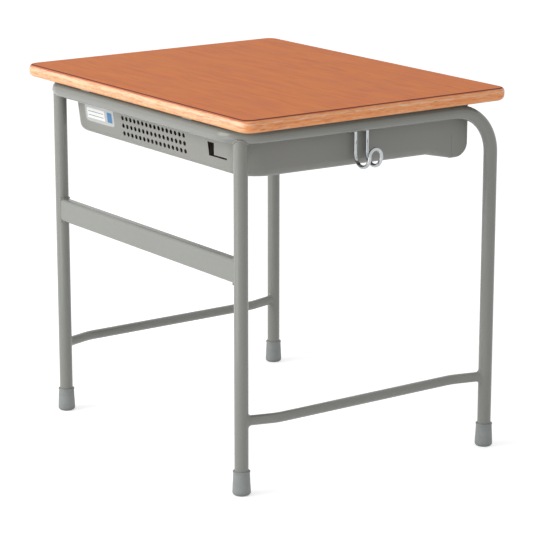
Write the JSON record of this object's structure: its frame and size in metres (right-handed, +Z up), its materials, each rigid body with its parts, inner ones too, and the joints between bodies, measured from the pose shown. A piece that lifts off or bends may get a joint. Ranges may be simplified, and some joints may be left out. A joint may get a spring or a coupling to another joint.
{
  "type": "school desk",
  "caption": "School desk with a rounded laminate top on a bent tube frame, an open ventilated book box under the top and swinging wire bag hooks at the sides.",
  "frame": {"origin": "on the floor under the middle of the top", "axes": "+Z up; +Y away from the pupil, towards the ventilated panel; +X to the pupil's right"},
  "size_m": [0.65, 0.51, 0.6],
  "materials": {
    "laminate": "satin cherry wood-grain laminate",
    "plywood": "clear-varnished plywood edge",
    "backing": "plain brown backing sheet",
    "frame_paint": "semi-gloss warm grey powder coat",
    "box_paint": "semi-gloss warm grey powder coat on sheet steel",
    "foot_plastic": "matt moulded",
    "zinc_steel": "zinc plated",
    "plated_wire": "bright plated"
  },
  "bodies": {
    "desk": {"top_laminate": "laminate", "top_core": "plywood", "top_backing": "backing", "frame_tube": "frame_paint", "cross_bar": "frame_paint", "far_leg_right": "frame_paint", "far_leg_left": "frame_paint", "side_stretcher_right": "frame_paint", "side_stretcher_left": "frame_paint", "hook_bracket_right": "frame_paint", "hook_bracket_left": "frame_paint", "top_plates": "frame_paint", "book_box_wall": "box_paint", "book_box_floor": "box_paint", "foot_cap_far_right": "foot_plastic", "foot_cap_far_left": "foot_plastic", "foot_cap_pupil_right": "foot_plastic", "foot_cap_pupil_left": "foot_plastic", "top_bolts": "zinc_steel", "insert_nuts": "zinc_steel"},
    "hook_right": {"bag_hook_right": "plated_wire"},
    "hook_left": {"bag_hook_left": "plated_wire"}
  },
  "joints": [
    {"name": "hook_right_swing", "type": "hinge", "parent": "desk", "child": "hook_right", "pos_m": [0.27518, 0.0023, 0.5561], "axis": [0, -1, 0], "range_deg": [0, 50]},
    {"name": "hook_left_swing", "type": "hinge", "parent": "desk", "child": "hook_left", "pos_m": [-0.27518, 0.0023, 0.5561], "axis": [0, 1, 0], "range_deg": [0, 50]}
  ]
}
